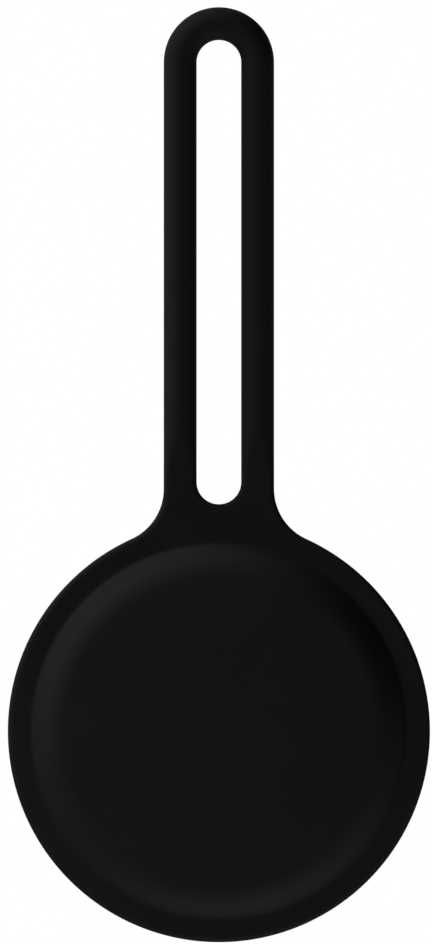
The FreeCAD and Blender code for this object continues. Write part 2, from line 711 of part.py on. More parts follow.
def main():
    os.makedirs("parts", exist_ok=True)
    flange_and_neck = plate()
    pieces = {
        "holder_cup": holder_cup(flange_and_neck),
        "neck": neck(flange_and_neck),
        "strap_loop": strap_loop(),
        "window_lip": window_lip(),
        "tag_shell": tag_shell(),
        "battery_frame": battery_frame(),
        "battery_cover": battery_cover(),
        "cover_lock_ring": cover_lock_ring(),
        "cover_seal": cover_seal(),
        "cell_can": cell_can(),
        "cell_gasket": cell_gasket(),
        "cell_cap": cell_cap(),
        "cell_electrodes": cell_electrodes(),
        "positive_contacts": positive_contacts(),
        "negative_contact": negative_contact(),
        "circuit_board": circuit_board(),
        "radio_chip": radio_chip(),
        "ranging_module": ranging_module(),
        "memory_chip": memory_chip(),
        "motion_sensor": motion_sensor(),
        "board_crystals": board_crystals(),
        "board_passives": board_passives(),
        "antenna_carrier": antenna_carrier(),
        "antenna_strips": antenna_strips(),
        "sounder_pot": sounder_pot(),
        "sounder_magnet": sounder_magnet(),
        "sounder_pole_plate": sounder_pole_plate(),
        "sounder_coil": sounder_coil(),
    }
    for name, shape in pieces.items():
        shape.exportStep("parts/" + name + ".step")
        print(name, len(shape.Solids), "solids,", round(shape.Volume, 2), "mm3, valid", shape.isValid())


main()
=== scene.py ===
"""Looks of a soft loop holder for a round tracker tag, and of the tag in it.

Metres. X is to the right, +Y runs from the domed rear face to the window, +Z is up.
"""

import json
import math

import bmesh
import bpy
from bpy.props import FloatProperty, FloatVectorProperty, PointerProperty
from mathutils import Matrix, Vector


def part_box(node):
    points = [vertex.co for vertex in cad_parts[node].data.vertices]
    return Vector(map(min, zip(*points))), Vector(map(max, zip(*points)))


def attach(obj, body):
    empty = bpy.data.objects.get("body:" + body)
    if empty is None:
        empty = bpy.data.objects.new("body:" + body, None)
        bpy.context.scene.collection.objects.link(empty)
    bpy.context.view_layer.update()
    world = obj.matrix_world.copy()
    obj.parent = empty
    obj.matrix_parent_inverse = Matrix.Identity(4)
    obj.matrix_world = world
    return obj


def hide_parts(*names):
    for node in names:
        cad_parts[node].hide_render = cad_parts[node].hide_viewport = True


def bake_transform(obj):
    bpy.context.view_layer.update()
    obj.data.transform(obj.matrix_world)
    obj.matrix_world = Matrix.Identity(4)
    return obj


bl_info = {
    "name": "Tracker tag holder",
    "version": (1, 0, 0),
    "blender": (4, 5, 0),
    "location": "View3D > Sidebar > Tag holder",
    "description": "Models the soft loop holder and its tag, and sets the stage round them",
    "category": "Add Mesh",
}

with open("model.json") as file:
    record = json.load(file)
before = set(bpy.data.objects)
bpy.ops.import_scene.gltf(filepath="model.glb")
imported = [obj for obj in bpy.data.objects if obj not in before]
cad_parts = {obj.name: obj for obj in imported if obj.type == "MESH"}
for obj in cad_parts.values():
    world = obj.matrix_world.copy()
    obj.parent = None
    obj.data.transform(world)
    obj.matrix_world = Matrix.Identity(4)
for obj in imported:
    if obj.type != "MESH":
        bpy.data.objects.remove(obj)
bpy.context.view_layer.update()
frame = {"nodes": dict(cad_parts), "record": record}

MM = 0.001
ALONG_X = Vector((1, 0, 0))
ALONG_Y = Vector((0, 1, 0))
ALONG_Z = Vector((0, 0, 1))

# How near counts as the same place when points are picked or mirrored, and when they are merged
NEAR = 0.005 * MM
SAME_POINT = NEAR / 5

# Rows across the web of the neck, counted up from a height, that cut it into narrow strips
WEB_ROWS = 12
WEB_ROW_GAP = 0.5 * MM
WEB_ROWS_BASE = -46.2 * MM

# How finely the pieces are divided, round an axis or along a stretch
DISC_STEPS = 96
DISC_STEPS_UNDER_NECK = 15
NECK_FILLET_STEPS = 20
SLOT_END_STEPS = 16
STUB_CUTS = 9
STRAND_STEPS = 14
BOW_STEPS = 28
TAG_STEPS = 128

# A strand has as many sides as the rim of its stub: four rounded edges, two sides and two faces
EDGE_PARTS = 6
SIDE_PARTS = 6
FACE_PARTS = 4
STRAND_SIDES = 4 * EDGE_PARTS + 2 * SIDE_PARTS + 2 * FACE_PARTS

# Length of one wave of the wave texture at scale 1
WAVE_LENGTH = 0.314

# The stage: a floor far below, how white the floor and the room look, and the light that the room gives
FLOOR_HEIGHT = -3.0
FLOOR_RADIUS = 6.0
FLOOR_STEPS = 96
FLOOR_SEEN = 0.94
ROOM_SEEN = 1.0
ROOM_LIGHT = 0.016

# Lamps: direction and distance from the disc's centre, width, and the level of a white card there
LAMPS = {
    "front_lamp": {"direction": (-0.27, -0.92, -0.12), "distance": 0.19, "width": 0.13, "level": 0.37},
    "side_lamp": {"direction": (-0.68, -0.05, 0.73), "distance": 0.4, "width": 0.16, "level": 1.06},
    "low_lamp": {"direction": (0.24, -0.05, -1.0), "distance": 0.4, "width": 0.42, "level": 0.88},
    "window_lamp": {"direction": (0.5, 0.85, 0.2), "distance": 0.4, "width": 0.52, "level": 0.42},
    "window_side_lamp": {"direction": (-0.5, 0.75, 0.42), "distance": 0.4, "width": 0.4, "level": 0.25},
}

# The photograph in pixels: its size, the column of the loop's middle and the row of the slot's top
PHOTO_WIDTH = 432
PHOTO_HEIGHT = 944
LOOP_COLUMN = 218.9
SLOT_TOP_ROW = 40.08

# What one pixel measures, how far off the camera stands, and its sensor's width in millimetres
PIXEL = 0.09242 * MM
CAMERA_DISTANCE = 1.0
SENSOR_WIDTH = 36.0

cup_low, cup_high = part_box("holder_cup")
lip_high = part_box("window_lip")[1]
loop_low, loop_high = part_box("strap_loop")
shell_low, shell_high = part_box("tag_shell")
cover_low, cover_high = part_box("battery_cover")


def length(name, description, default):
    return FloatProperty(
        name=name, description=description, default=default, min=0.0, unit="LENGTH", precision=5)


def place(name, description, default):
    return FloatProperty(name=name, description=description, default=default, unit="LENGTH", precision=5)


def lean(name, description, default):
    return FloatProperty(name=name, description=description, default=default, min=0.0, subtype="ANGLE")


def colour(name, description, default):
    return FloatVectorProperty(
        name=name, description=description, default=default, size=3, min=0.0, max=1.0, subtype="COLOR")


class HolderSizes(bpy.types.PropertyGroup):
    """Sizes of the soft moulding."""
    disc_height: place("Disc height", "Height of the disc's centre", (shell_low.z + shell_high.z) / 2)
    disc_radius: length("Disc radius", "Outer radius of the flange", cup_high.x)
    flange_half: length("Flange half", "Half of the flange's thickness", cup_high.y)
    edge_round: length("Edge round", "Radius along the flange's and the neck's edges", 0.5 * MM)
    edge_support: length("Edge support", "Width of the flat band beside a rounded edge", 0.1 * MM)
    dome_radius: length("Dome radius", "Radius of the dome where it meets the flange", lip_high.x)
    dome_apex: place("Dome apex", "Depth of the dome's highest point", cup_low.y)
    dome_crown: length("Dome crown", "Radius of the dome's faint crown", 241.1 * MM)
    dome_shoulder: length("Dome shoulder", "Radius between the dome's crown and its side", 2.4 * MM)
    dome_draft: lean("Dome draft", "Lean of the dome's side towards its crown", math.radians(28))
    dome_foot: length("Dome foot", "Fillet where the dome and the lip meet the flange", 0.25 * MM)
    wall: length("Wall", "Thickness of the dome over the tag", 1.0 * MM)
    pocket_radius: length("Pocket radius", "Radius of the room for the tag", 16.05 * MM)
    pocket_shoulder: length("Pocket shoulder", "Rounding of the pocket's floor", 3.1 * MM)
    lip_front: place("Lip front", "Depth of the lip's front face", lip_high.y)
    lip_shoulder: length("Lip shoulder", "Rounding of the lip's outer edge", 2.8 * MM)
    lip_inside: place("Lip inside", "Depth of the lip's inner face", 3.6 * MM)
    lip_inside_round: length("Lip inside round", "Rounding of the pocket under the lip", 2.4 * MM)
    window_radius: length("Window radius", "Radius of the round window", 13.1 * MM)
    window_edge: length("Window edge", "Rounding of the window's edge", 0.25 * MM)
    strand_radius: length("Strand radius", "Radius of the loop's round strands", loop_high.y)
    loop_half: length("Loop half", "Half of the loop's outer width", loop_high.x)
    loop_end: place("Loop end", "Height at which the strands turn from round to flat", loop_low.z)
    slot_bottom: place("Slot bottom", "Height of the slot's lower end", -42.9 * MM)
    stub: length("Stub", "Length of the flat stubs over the slot's lower end", 1.0 * MM)
    neck_fillet: length("Neck fillet", "Radius between the disc and the strands", 5.1 * MM)


class TagSizes(bpy.types.PropertyGroup):
    """Sizes of the tag's outer pieces."""
    shell_radius: length("Shell radius", "Outer radius of the tag", shell_high.x)
    shell_apex: place("Shell apex", "Depth of the shell's rear", shell_low.y)
    shell_rim: place("Shell rim", "Depth of the shell's rim", shell_high.y)
    shell_crown: length("Shell crown", "Radius of the rear's faint crown", 240.0 * MM)
    shell_wall: length("Shell wall", "Thickness of the shell", 0.9 * MM)
    rear_shoulder: length("Rear shoulder", "Rounding of the rear", 3.0 * MM)
    front_shoulder: length("Front shoulder", "Rounding of the rim", 2.3 * MM)
    opening_radius: length("Opening radius", "Opening for the battery cover", 12.95 * MM)
    opening_edge: length("Opening edge", "Rounding of the opening's edge", 0.1 * MM)
    cover_radius: length("Cover radius", "Outer radius of the battery cover", cover_high.x)
    cover_front: place("Cover front", "Depth of the cover's highest point", cover_high.y)
    cover_skirt: place("Cover skirt", "Depth of the end of the cover's skirt", cover_low.y)
    cover_rise: length("Cover rise", "Height of the cover's crown", 0.35 * MM)
    cover_edge: length("Cover edge", "Outer bend of the cover", 0.4 * MM)
    cover_sheet: length("Cover sheet", "Thickness of the cover's steel", 0.3 * MM)


class HolderColours(bpy.types.PropertyGroup):
    """Colours of the pieces and the stage."""
    silicone: colour("Silicone", "Soft black moulding", (0.013, 0.013, 0.013))
    shell: colour("Shell", "Tag's shell", (0.75, 0.75, 0.74))
    cover: colour("Cover", "Steel of the battery cover", (0.44, 0.44, 0.445))
    floor: colour("Floor", "Pale floor", (0.85, 0.85, 0.85))


# Modelling by hand

def new_piece(name, point):
    """Starts a mesh piece in edit mode with one vertex."""
    bpy.ops.object.select_all(action="DESELECT")
    bpy.ops.mesh.primitive_plane_add(size=MM, location=(0, 0, 0))
    piece = bpy.context.object
    piece.name = piece.data.name = name
    bpy.ops.object.mode_set(mode="EDIT")
    bpy.ops.mesh.merge(type="CENTER")
    bpy.ops.transform.translate(value=point)
    return piece


def new_chain(point):
    """Starts another chain in the piece that is being edited."""
    bpy.ops.mesh.select_mode(type="VERT")
    bpy.ops.mesh.select_all(action="DESELECT")
    bpy.ops.mesh.primitive_plane_add(size=MM, location=(0, 0, 0))
    bpy.ops.mesh.merge(type="CENTER")
    bpy.ops.transform.translate(value=point)


class Pen:
    """Draws a chain of edges in a plane, by extruding or spinning its last vertex."""

    def __init__(self, point, across):
        self.point = point
        self.across = across

    def line(self, end, parts=1):
        step = (end - self.point) / parts
        for _ in range(parts):
            bpy.ops.mesh.extrude_region_move(TRANSFORM_OT_translate={"value": step})
        self.point = end

    def arc(self, end, centre, parts):
        start = self.point - centre
        finish = end - centre
        angle = math.atan2(self.across.dot(start.cross(finish)), start.dot(finish))
        bpy.ops.mesh.spin(steps=parts, angle=-angle, center=centre, axis=self.across)
        self.point = end


class Profile(Pen):
    """Draws a turned piece's profile below its axis, in radius and depth."""

    def __init__(self, axis_z, radius, depth):
        self.axis_z = axis_z
        super().__init__(self.at(radius, depth), ALONG_X)

    def at(self, radius, depth):
        return Vector((0, depth, self.axis_z - radius))

    def to(self, radius, depth, parts=1):
        self.line(self.at(radius, depth), parts)

    def round(self, radius, depth, centre_radius, centre_depth, parts):
        self.arc(self.at(radius, depth), self.at(centre_radius, centre_depth), parts)


def pick(piece, kind, test):
    """Selects only the vertices, edges or faces that pass the test."""
    bpy.ops.mesh.select_mode(type=kind)
    bpy.ops.mesh.select_all(action="DESELECT")
    mesh = bmesh.from_edit_mesh(piece.data)
    found = 0
    for item in {"VERT": mesh.verts, "EDGE": mesh.edges, "FACE": mesh.faces}[kind]:
        if test(item):
            item.select_set(True)
            found += 1
    if not found:
        raise RuntimeError(piece.name + ": nothing to select")
    mesh.select_flush_mode()
    bmesh.update_edit_mesh(piece.data, loop_triangles=False, destructive=False)


def both(edge, test):
    """Whether both ends of an edge pass the test."""
    return all(test(vertex.co) for vertex in edge.verts)


def close_seams():
    """Merges the points that meet, turns the faces outwards and ends the edit."""
    bpy.ops.mesh.select_mode(type="VERT")
    bpy.ops.mesh.select_all(action="SELECT")
    bpy.ops.mesh.remove_doubles(threshold=SAME_POINT)
    bpy.ops.mesh.normals_make_consistent(inside=False)
    bpy.ops.object.mode_set(mode="OBJECT")


def smooth(piece, degrees):
    """Shades smoothly over edges that turn by less than this."""
    bpy.ops.object.select_all(action="DESELECT")
    piece.select_set(True)
    bpy.context.view_layer.objects.active = piece
    bpy.ops.object.shade_smooth_by_angle(angle=math.radians(degrees))


def crowned(radius, apex, crown, shoulder, draft=0.0, depth=0.0):
    """Where a crown that opens towards +Y meets its shoulder, and the shoulder's centre.

    Both are given as radius and depth. The side has the radius at the depth, and leans in by the draft.
    """
    outward = Vector((math.cos(draft), -math.sin(draft)))
    rearward = Vector((-math.sin(draft), -math.cos(draft)))
    middle = Vector((0, apex + crown))
    beside = (Vector((radius, depth)) - middle).dot(outward) - shoulder
    reach = math.sqrt((crown - shoulder) ** 2 - beside ** 2)
    to_shoulder = outward * beside + rearward * reach
    return middle + to_shoulder * crown / (crown - shoulder), middle + to_shoulder


def turn(axis_z):
    """Turns a finished profile once round the tag's axis."""
    bpy.ops.mesh.select_mode(type="VERT")
    bpy.ops.mesh.select_all(action="SELECT")
    bpy.ops.mesh.spin(steps=TAG_STEPS, angle=math.tau, center=(0, 0, axis_z), axis=ALONG_Y)
    close_seams()


def extrude_up(height):
    """Extrudes what is selected straight up."""
    bpy.ops.mesh.extrude_region_move(TRANSFORM_OT_translate={"value": (0, 0, height)})


# Materials

class Shade:
    """A value in a node tree. Sums, differences and products of values add Math nodes."""

    def __init__(self, finish, socket):
        self.finish = finish
        self.socket = socket

    def maths(self, operation, first, second):
        return self.finish.node("ShaderNodeMath", {"operation": operation}, {0: first, 1: second})

    def __add__(self, other):
        return self.maths("ADD", self, other)

    __radd__ = __add__

    def __sub__(self, other):
        return self.maths("SUBTRACT", self, other)

    def __rsub__(self, other):
        return self.maths("SUBTRACT", other, self)

    def __mul__(self, other):
        return self.maths("MULTIPLY", self, other)

    __rmul__ = __mul__

    def __abs__(self):
        return self.maths("ABSOLUTE", self, 0.0)

    def above(self, other):
        """The larger of the two."""
        return self.maths("MAXIMUM", self, other)


class Finish:
    """Builds a node tree on Object coordinates."""

    def __init__(self, tree):
        self.tree = tree

    def node(self, kind, settings=None, sockets=None, output=0):
        """Adds a node with its settings, then its sockets, and gives one of its outputs."""
        made = self.tree.nodes.new(kind)
        for key, value in (settings or {}).items():
            setattr(made, key, value)
        for key, value in (sockets or {}).items():
            self.feed(made.inputs[key], value)
        return Shade(self, made.outputs[output])

    def feed(self, socket, value):
        """Links a value to a socket, or sets a number or a colour on it."""
        if isinstance(value, Shade):
            self.tree.links.new(value.socket, socket)
        elif socket.type == "RGBA":
            socket.default_value = (*value, 1)
        else:
            socket.default_value = value

    def place(self):
        return self.node("ShaderNodeTexCoord", output="Object")

    def mapped(self, **sockets):
        """The place on the piece, moved or stretched."""
        sockets["Vector"] = self.place()
        return self.node("ShaderNodeMapping", {"vector_type": "POINT"}, sockets)

    def noise(self, size, detail=2.0, vector=None):
        sockets = {
            "Vector": vector or self.place(),
            "Scale": 1 / size,
            "Detail": detail,
            "Roughness": 0.55,
        }
        return self.node("ShaderNodeTexNoise", {"noise_dimensions": "3D"}, sockets)

    def rings(self, radius, width):
        """Uneven rings of about this width."""
        sockets = {"W": radius, "Scale": 1 / width, "Detail": 2.0}
        return self.node("ShaderNodeTexNoise", {"noise_dimensions": "1D"}, sockets)

    def ramp(self, value, low, high):
        """Zero below low, one above high."""
        sockets = {"Value": value, "From Min": low, "From Max": high, "To Min": 0.0, "To Max": 1.0}
        return self.node("ShaderNodeMapRange", {"clamp": True}, sockets)

    def mix(self, share, first, second):
        sockets = {"Factor": share, "A": first, "B": second}
        return self.node("ShaderNodeMix", {"data_type": "RGBA"}, sockets, output="Result")

    def bump(self, height, depth):
        sockets = {"Height": height, "Distance": depth, "Strength": 1.0}
        return self.node("ShaderNodeBump", None, sockets)

    def seen(self):
        """One for what camera, mirror or glass sees of the surroundings, zero for the light they give."""
        camera, mirror, glass = [
            self.node("ShaderNodeLightPath", output="Is %s Ray" % kind)
            for kind in ("Camera", "Glossy", "Transmission")
        ]
        return camera.above(mirror).above(glass)


class Surface(Finish):
    """A procedural material with one Principled shader."""

    def __init__(self, name):
        self.material = bpy.data.materials.new(name)
        self.material.use_nodes = True
        super().__init__(self.material.node_tree)
        self.shader = self.tree.nodes["Principled BSDF"]

    def vary(self, share, tone, darkest, lightest):
        """The tone times a factor that runs from darkest to lightest."""
        return self.mix(share, shaded(tone, darkest), shaded(tone, lightest))

    def set(self, **sockets):
        """Sets the shader's sockets and gives the finished material."""
        for key, value in sockets.items():
            self.feed(self.shader.inputs[key.replace("_", " ")], value)
        return self.material


def grey(level):
    return (level, level, level)


def shaded(tone, factor):
    """A darker or lighter tone."""
    return tuple(min(1.0, part * factor) for part in tone)


def soft_silicone(tone):
    """Matt black silicone: faint mottling, a fine moulded grain, and a hairline where the mould parts."""
    skin = Surface("soft_silicone")
    mottle = skin.noise(size=6 * MM)
    grain = skin.noise(size=0.12 * MM)
    depth = skin.node("ShaderNodeSeparateXYZ", None, {"Vector": skin.place()}, output="Y")
    parting = 1 - skin.ramp(abs(depth), low=0.02 * MM, high=0.07 * MM)
    return skin.set(
        Base_Color=skin.vary(skin.ramp(mottle, 0.3, 0.7), tone, darkest=0.96, lightest=1.04),
        Roughness=0.68 + 0.1 * grain + 0.04 * mottle,
        Specular_IOR_Level=0.006,
        Normal=skin.bump(0.35 * grain + parting, depth=0.012 * MM),
    )


def moulded_plastic(name, tone, rough, grain_size=0.2 * MM, grain_depth=0.004 * MM):
    """Moulded plastic or rubber: faint mottling and a fine grain."""
    skin = Surface(name)
    mottle = skin.noise(size=4 * MM)
    grain = skin.noise(size=grain_size)
    return skin.set(
        Base_Color=skin.vary(skin.ramp(mottle, 0.3, 0.7), tone, darkest=0.96, lightest=1.04),
        Roughness=(rough - 0.06) + 0.12 * grain,
        Normal=skin.bump(grain, depth=grain_depth),
    )


def sheet_metal(name, tone, rough, streaks=(1, 1, 12)):
    """Rolled or plated sheet: fine streaks along the sheet, and a little staining."""
    skin = Surface(name)
    streak = skin.noise(size=0.25 * MM, vector=skin.mapped(Scale=streaks))
    stain = skin.noise(size=3 * MM, detail=3.0)
    return skin.set(
        Base_Color=skin.vary(skin.ramp(stain, 0.25, 0.75), tone, darkest=0.95, lightest=1.03),
        Metallic=1.0,
        Roughness=(rough - 0.08) + 0.14 * streak + 0.04 * stain,
        Normal=skin.bump(streak, depth=0.0015 * MM),
    )


def turned_steel(name, tone, rough, axis_z):
    """Spun steel: fine and broad rings round the tag's axis, and a few straight scratches."""
    skin = Surface(name)
    centred = skin.mapped(Location=(0, 0, -axis_z))
    flat = skin.node("ShaderNodeVectorMath", {"operation": "MULTIPLY"}, {0: centred, 1: (1, 0, 1)})
    radius = skin.node("ShaderNodeVectorMath", {"operation": "LENGTH"}, {0: flat}, output="Value")
    fine = skin.rings(radius, width=0.07 * MM)
    broad = skin.rings(radius, width=0.35 * MM)
    scratch = skin.noise(size=0.15 * MM, vector=skin.mapped(Scale=(1, 1, 14)))
    return skin.set(
        Base_Color=skin.vary(skin.ramp(broad, 0.3, 0.7), tone, darkest=0.97, lightest=1.03),
        Metallic=1.0,
        Roughness=(rough - 0.08) + 0.08 * fine + 0.05 * broad + 0.04 * scratch,
        Normal=skin.bump(fine + 0.2 * scratch, depth=0.0045 * MM),
    )


def board_mask(name, tone, weave=0.35 * MM):
    """Solder mask over woven glass."""
    skin = Surface(name)
    threads = []
    for direction in ("X", "Z"):
        settings = {"wave_type": "BANDS", "bands_direction": direction, "wave_profile": "SIN"}
        sockets = {"Vector": skin.place(), "Scale": WAVE_LENGTH / weave, "Distortion": 0.4}
        threads.append(skin.node("ShaderNodeTexWave", settings, sockets, output="Fac"))
    cloth = threads[0] * threads[1]
    mottle = skin.noise(size=2 * MM, detail=3.0)
    return skin.set(
        Base_Color=skin.vary(cloth, tone, darkest=0.85, lightest=1.15),
        Roughness=0.3 + 0.12 * mottle + 0.06 * cloth,
        Normal=skin.bump(cloth, depth=0.004 * MM),
    )


def speckled(name, tone, rough, size=0.1 * MM, contrast=2.0):
    """A body with fine lighter flecks, such as ceramic, filled resin or pressed powder."""
    skin = Surface(name)
    sockets = {"Vector": skin.place(), "Scale": 1 / size}
    flecks = skin.node("ShaderNodeTexVoronoi", {"feature": "F1"}, sockets, output="Distance")
    mottle = skin.noise(size=1.2 * MM)
    share = skin.ramp(flecks, low=0.15, high=0.5)
    return skin.set(
        Base_Color=skin.mix(share, shaded(tone, contrast), tone),
        Roughness=(rough - 0.05) + 0.1 * mottle + 0.05 * share,
        Normal=skin.bump(share, depth=0.003 * MM),
    )


def cover_with(node, material):
    """Gives a CAD node its material."""
    for slot in frame["nodes"][node].material_slots:
        slot.material = material


# How each material slot inside the tag is made, and how rough it is
INSIDE_FINISHES = {
    "frame_plastic": (moulded_plastic, {"rough": 0.5}),
    "lock_plastic": (moulded_plastic, {"rough": 0.45}),
    "gasket_plastic": (moulded_plastic, {"rough": 0.4}),
    "antenna_plastic": (moulded_plastic, {"rough": 0.5}),
    "seal_rubber": (moulded_plastic, {"rough": 0.7, "grain_size": 0.1 * MM}),
    "cell_steel": (sheet_metal, {"rough": 0.3}),
    "shield_steel": (sheet_metal, {"rough": 0.32}),
    "crystal_metal": (sheet_metal, {"rough": 0.25}),
    "magnet_nickel": (sheet_metal, {"rough": 0.22}),
    "spring_bronze": (sheet_metal, {"rough": 0.3}),
    "copper": (sheet_metal, {"rough": 0.34}),
    "board_laminate": (board_mask, {}),
    "chip_black": (speckled, {"rough": 0.5}),
    "cell_paste": (speckled, {"rough": 0.8}),
    "ceramic_brown": (speckled, {"rough": 0.5, "size": 0.08 * MM, "contrast": 1.5}),
}


# Operators

class TAGHOLDER_OT_moulding(bpy.types.Operator):
    """Model the soft holder as one moulding: loop, neck, flange, dome and window lip"""
    bl_idname = "mesh.tag_holder_moulding"
    bl_label = "Soft moulding"
    bl_options = {"REGISTER", "UNDO"}

    def execute(self, context):
        sizes = context.scene.holder_sizes
        piece = self.turned_half(sizes)
        self.neck_half(piece, sizes)
        self.strand_half(piece, sizes)
        close_seams()
        mirror = piece.modifiers.new("other_half", "MIRROR")
        mirror.merge_threshold = NEAR
        bpy.ops.object.modifier_apply(modifier=mirror.name)
        bpy.ops.object.mode_set(mode="EDIT")
        close_seams()
        smooth(piece, degrees=40)
        piece.data.materials.append(soft_silicone(context.scene.holder_colours.silicone))
        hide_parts("strap_loop", "neck", "holder_cup", "window_lip")
        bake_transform(piece)
        return {"FINISHED"}

    def tangent_angle(self, s):
        """Angle from straight up at which a neck fillet leaves the disc."""
        return math.asin((s.loop_half + s.neck_fillet) / (s.disc_radius + s.neck_fillet))

    def web_radius(self, s):
        """Radius at which the turned disc ends under the neck, and the web begins."""
        return s.dome_radius + s.dome_foot + s.edge_support

    def slot_end(self, s):
        """Half of the slot's width, and the heights of the stub's root and top."""
        slot = s.loop_half - 2 * s.strand_radius
        root = s.slot_bottom + slot
        return slot, root, root + s.stub

    def turned_half(self, s):
        """Dome, flange, lip and pocket, turned to the neck's fillet, and on to the top without the rim."""
        crown_end, shoulder = crowned(
            s.dome_radius, s.dome_apex, s.dome_crown, s.dome_shoulder, s.dome_draft, -s.flange_half)
        off_flank = Vector((math.cos(s.dome_draft), -math.sin(s.dome_draft)))
        flank_start = shoulder + off_flank * s.dome_shoulder
        foot_y = -s.flange_half - s.dome_foot
        foot_out = s.dome_foot * (1 - math.sin(s.dome_draft)) / math.cos(s.dome_draft)
        foot_radius = s.dome_radius + foot_out
        flank_end = Vector((foot_radius, foot_y)) - off_flank * s.dome_foot
        web = self.web_radius(s)
        edge = s.disc_radius - s.edge_round
        corner = s.flange_half - s.edge_round
        lip_foot = s.dome_radius + s.dome_foot
        lip_foot_y = s.flange_half + s.dome_foot
        lip_side = s.lip_front - s.lip_shoulder
        lip_flat = s.dome_radius - s.lip_shoulder
        window_flat = s.window_radius + s.window_edge
        window_edge_y = s.lip_front - s.window_edge
        under_lip = s.pocket_radius - s.lip_inside_round
        under_lip_y = s.lip_inside - s.lip_inside_round
        floor = s.dome_apex + s.wall
        floor_end, floor_centre = crowned(
            s.pocket_radius, floor, s.dome_crown - s.wall, s.pocket_shoulder)

        pen = Profile(s.disc_height, 0, s.dome_apex)
        piece = new_piece("holder_moulding", pen.point)
        pen.round(*crown_end, 0, s.dome_apex + s.dome_crown, parts=8)
        pen.round(*flank_start, *shoulder, parts=14)
        pen.to(*flank_end, parts=6)
        pen.round(foot_radius, -s.flange_half, foot_radius, foot_y, parts=4)
        pen.to(web, -s.flange_half)
        pen.to(edge - s.edge_support, -s.flange_half)
        pen.to(edge, -s.flange_half)
        pen.round(s.disc_radius, -corner, edge, -corner, EDGE_PARTS)
        pen.to(s.disc_radius, corner, SIDE_PARTS)
        pen.round(edge, s.flange_half, edge, corner, EDGE_PARTS)
        pen.to(edge - s.edge_support, s.flange_half)
        pen.to(web, s.flange_half)
        pen.to(lip_foot, s.flange_half)
        pen.round(s.dome_radius, lip_foot_y, lip_foot, lip_foot_y, parts=3)
        pen.to(s.dome_radius, lip_side)
        pen.round(lip_flat, s.lip_front, lip_flat, lip_side, parts=14)
        pen.to(window_flat + s.edge_support, s.lip_front)
        pen.to(window_flat, s.lip_front)
        pen.round(s.window_radius, window_edge_y, window_flat, window_edge_y, parts=4)
        pen.to(s.window_radius, s.lip_inside)
        pen.to(under_lip, s.lip_inside)
        pen.round(s.pocket_radius, under_lip_y, under_lip, under_lip_y, parts=8)
        pen.to(s.pocket_radius, floor_centre.y)
        pen.round(*floor_end, *floor_centre, parts=12)
        pen.round(0, floor, 0, floor + s.dome_crown - s.wall, parts=6)

        centre = Vector((0, 0, s.disc_height))
        gap = self.tangent_angle(s)
        bpy.ops.mesh.select_all(action="SELECT")
        bpy.ops.mesh.spin(steps=DISC_STEPS, angle=math.pi - gap, center=centre, axis=ALONG_Y)
        outward = Vector((math.sin(gap), 0, math.cos(gap)))
        sideways = Vector((math.cos(gap), 0, -math.sin(gap)))

        def at_fillet(vertex):
            point = vertex.co - centre
            return abs(point.dot(sideways)) < NEAR and point.dot(outward) > -NEAR

        def radius(vertex):
            return (vertex.co - centre).dot(outward)

        pick(piece, "VERT", lambda v: at_fillet(v) and radius(v) < web + NEAR)
        bpy.ops.mesh.spin(steps=DISC_STEPS_UNDER_NECK, angle=gap, center=centre, axis=ALONG_Y)
        pick(piece, "VERT", lambda v: at_fillet(v) and radius(v) > web - NEAR)
        return piece

    def neck_half(self, piece, s):
        """The rim round the neck's fillet and up the stub, the slot's rim, and the web between them."""
        gap = self.tangent_angle(s)
        fillet_x = s.loop_half + s.neck_fillet
        fillet_z = s.disc_height + (s.disc_radius + s.neck_fillet) * math.cos(gap)
        fillet = Vector((fillet_x, 0, fillet_z))
        slot, root, top = self.slot_end(s)
        bpy.ops.mesh.spin(
            steps=NECK_FILLET_STEPS, angle=gap - math.pi / 2, center=fillet, axis=ALONG_Y)
        extrude_up(root - fillet_z)
        extrude_up(top - root)

        flat = slot + s.edge_round
        rim = flat + s.edge_support
        corner = s.flange_half - s.edge_round
        pen = Pen(Vector((rim, -s.flange_half, root)), ALONG_Z)
        new_chain(pen.point)
        pen.line(Vector((flat, -s.flange_half, root)))
        pen.arc(Vector((slot, -corner, root)), Vector((flat, -corner, root)), EDGE_PARTS)
        pen.line(Vector((slot, corner, root)), SIDE_PARTS)
        pen.arc(Vector((flat, s.flange_half, root)), Vector((flat, corner, root)), EDGE_PARTS)
        pen.line(Vector((rim, s.flange_half, root)))

        def at_slot_root(vertex):
            return abs(vertex.co.z - root) < NEAR and vertex.co.x < rim + NEAR

        pick(piece, "VERT", at_slot_root)
        bpy.ops.mesh.spin(steps=SLOT_END_STEPS, angle=-math.pi / 2, center=(0, 0, root), axis=ALONG_Y)
        pick(piece, "VERT", at_slot_root)
        extrude_up(top - root)

        web = self.web_radius(s)
        strand_side = s.loop_half - (s.disc_radius - web)
        for depth in (-s.flange_half, s.flange_half):
            self.join(piece, Vector((rim, depth, top)), Vector((strand_side, depth, top)))
            self.join(piece, Vector((0, depth, root - rim)), Vector((0, depth, s.disc_height + web)))

            def on_face(point):
                return abs(point.y - depth) < NEAR and point.z > s.disc_height + s.dome_radius / 2

            def bounds_web(edge):
                if not both(edge, on_face):
                    return False
                on_end = both(edge, lambda p: p.z > top - NEAR) or both(edge, lambda p: abs(p.x) < NEAR)
                return edge.is_wire or (edge.is_boundary and not on_end)

            pick(piece, "EDGE", bounds_web)
            bpy.ops.mesh.edge_face_add()

        disc = Vector((0, 0, s.disc_height))

        def in_web(face):
            middle = face.calc_center_bounds()
            if abs(abs(middle.y) - s.flange_half) > NEAR or middle.z > top:
                return False
            middle.y = 0
            off_fillet = (middle - fillet).length > s.neck_fillet + s.disc_radius - web
            return off_fillet and (middle - disc).length > web and abs(middle.x) < fillet_x

